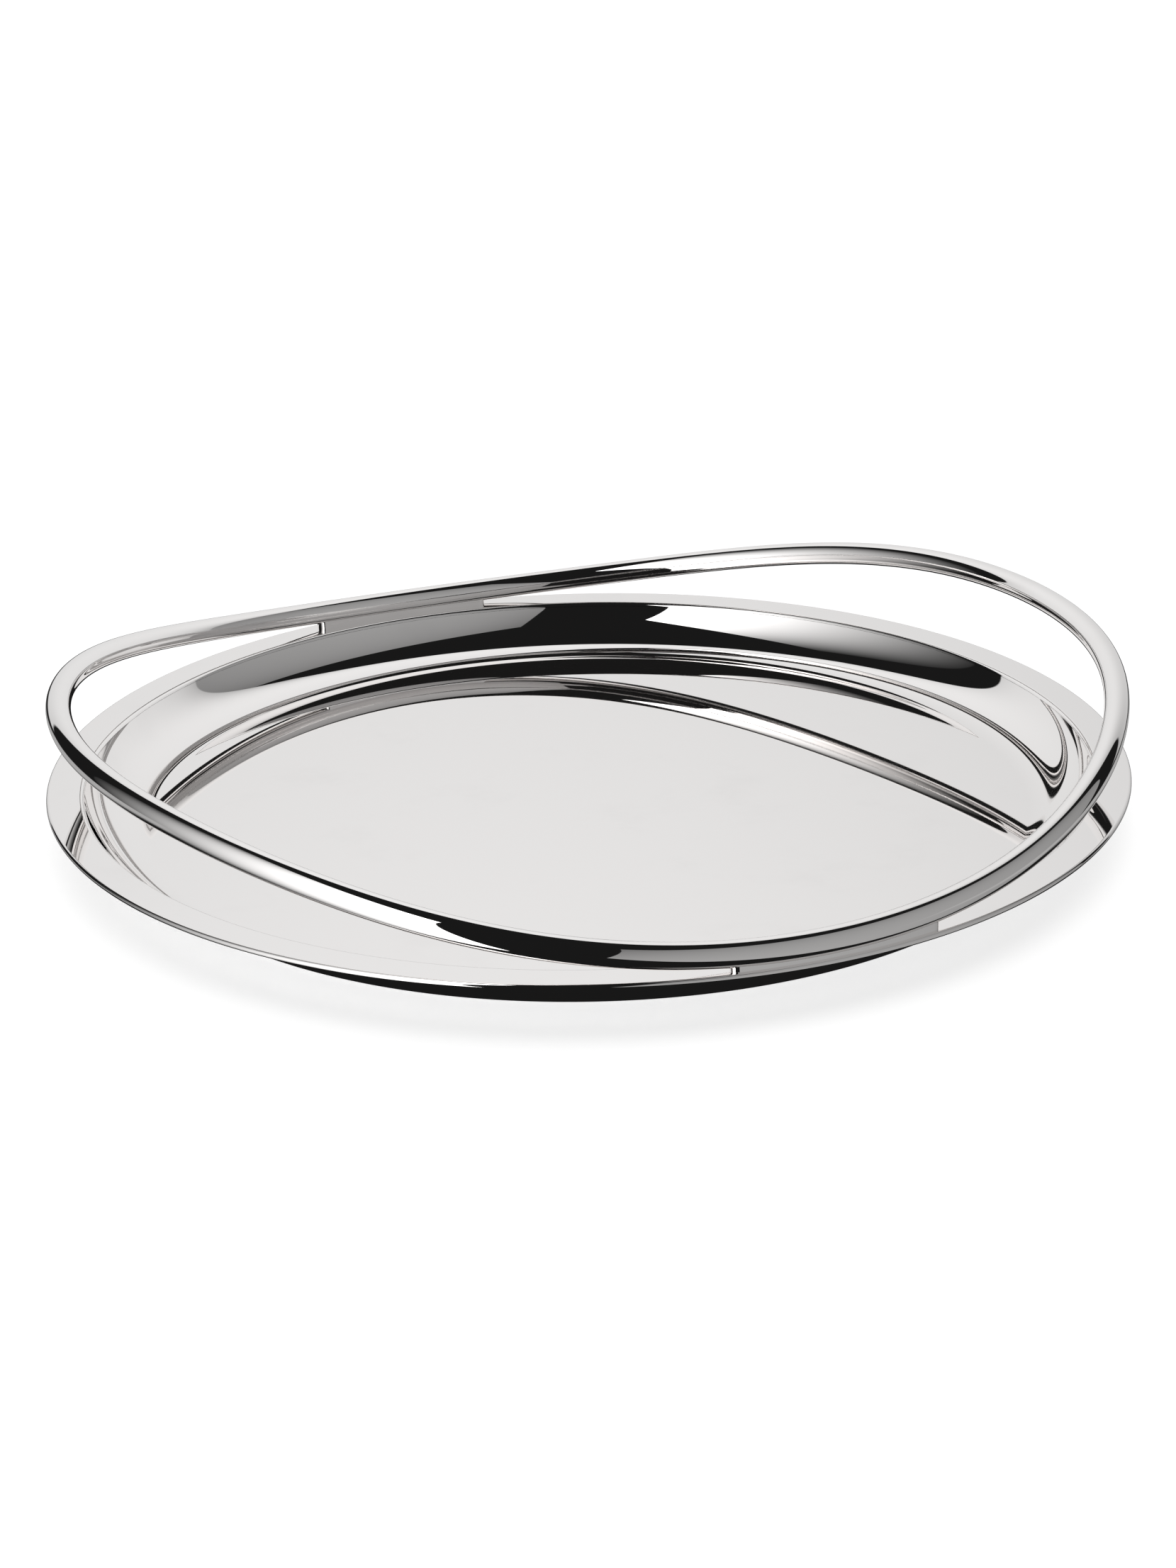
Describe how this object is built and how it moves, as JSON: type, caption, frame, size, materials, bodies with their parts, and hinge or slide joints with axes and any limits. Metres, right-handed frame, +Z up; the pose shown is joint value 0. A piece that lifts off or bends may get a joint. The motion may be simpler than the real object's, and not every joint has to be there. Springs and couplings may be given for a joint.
{
  "type": "serving tray",
  "caption": "Round polished tray with a shallow well, a flat flange with a rolled edge, and one waved ring over it that rises into two opposite handles.",
  "frame": {"origin": "centre of the foot, on the table", "axes": "+Z up from the table; +X through the handle on the right; +Y towards the rear seat of the ring"},
  "size_m": [0.4399, 0.44, 0.0659],
  "materials": {
    "silver_plate": "mirror polished silver plate",
    "edge_wire": "drawn steel wire",
    "brass": "drawn brass rod"
  },
  "bodies": {
    "root": {"tray_pan": "silver_plate", "edge_wire": "edge_wire", "foot_ring": "silver_plate", "handle_tube_right": "silver_plate", "handle_tube_left": "silver_plate", "spacer_front": "silver_plate", "spacer_rear": "silver_plate", "joint_pin_front": "brass", "joint_pin_rear": "brass"}
  },
  "joints": []
}
